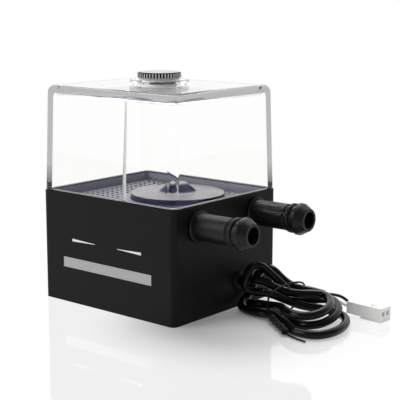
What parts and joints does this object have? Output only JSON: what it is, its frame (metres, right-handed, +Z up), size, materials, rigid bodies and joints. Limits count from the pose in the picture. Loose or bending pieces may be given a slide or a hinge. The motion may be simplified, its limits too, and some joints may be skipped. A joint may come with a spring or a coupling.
{
  "type": "liquid cooling pump with reservoir",
  "caption": "Compact liquid cooling pump: black base with motor and spiral pump chamber, clear reservoir with a screw plug on top, hose barbs on one side and a tied cable.",
  "frame": {"origin": "middle of the base box's underside", "axes": "+X is the way the hose barbs point, -Y is the plain front, +Z is up through the filler plug"},
  "size_m": [0.1148, 0.0576, 0.0837],
  "materials": {
    "base_plastic": "satin",
    "barb_plastic": "satin",
    "clear_plastic": "clear, polished",
    "seal_rubber": "matte",
    "seal_silicone": "satin",
    "plug_metal": "polished",
    "screw_steel": "satin",
    "core_steel": "laminated",
    "can_plastic": "satin",
    "impeller_plastic": "satin",
    "magnet_ferrite": "matte",
    "bush_carbon": "matte",
    "shaft_ceramic": "ground",
    "bobbin_plastic": "satin",
    "winding_copper": "enamelled",
    "board_laminate": "satin",
    "chip_plastic": "matte",
    "can_aluminium": "satin",
    "cable_sheath": "satin",
    "tie_plastic": "satin",
    "lead_black": "satin",
    "lead_white": "satin",
    "connector_plastic": "satin",
    "contact_metal": "tinned"
  },
  "bodies": {
    "pump": {"base_housing": "base_plastic", "base_plate": "base_plastic", "floor_grid": "base_plastic", "volute_cover": "base_plastic", "volute_housing": "base_plastic", "inlet_barb": "barb_plastic", "outlet_barb": "barb_plastic", "tank": "clear_plastic", "tank_seal": "seal_rubber", "can_gasket": "seal_rubber", "barb_seals": "seal_rubber", "cable_grommet": "seal_rubber", "base_screws": "screw_steel", "volute_screws": "screw_steel", "stator_core": "core_steel", "rotor_can": "can_plastic", "rotor_shaft": "shaft_ceramic", "thrust_washers": "shaft_ceramic", "coil_bobbins": "bobbin_plastic", "stator_coils": "winding_copper", "control_board": "board_laminate", "drive_chip": "chip_plastic", "hall_sensor": "chip_plastic", "filter_capacitor": "can_aluminium", "cable_lead": "cable_sheath", "cable_hank": "cable_sheath", "twist_tie": "tie_plastic", "lead_black": "lead_black", "board_leads": "lead_black", "lead_white": "lead_white", "connector_housing": "connector_plastic", "connector_contacts": "contact_metal"},
    "rotor": {"impeller": "impeller_plastic", "rotor_magnet": "magnet_ferrite", "rotor_bush": "bush_carbon"},
    "cap_seal": {"filler_cap_seal": "seal_silicone"},
    "cap": {"filler_cap": "plug_metal"}
  },
  "joints": [
    {"name": "impeller_spin", "type": "hinge", "parent": "pump", "child": "rotor", "pos_m": [0.0042, 0.005, 0.03], "axis": [0, 0, 1], "continuous": true},
    {"name": "cap_lift", "type": "slide", "parent": "pump", "child": "cap_seal", "axis": [0, 0, 1], "range_m": [0, 0.00468]},
    {"name": "cap_turn", "type": "hinge", "parent": "cap_seal", "child": "cap", "pos_m": [0, 0, 0.0811], "axis": [0, 0, 1], "range_deg": [0, 1260]}
  ],
  "couplings": [
    {"joint": "cap_lift", "follows": "cap_turn", "m_per_rad": 0.00021279}
  ]
}
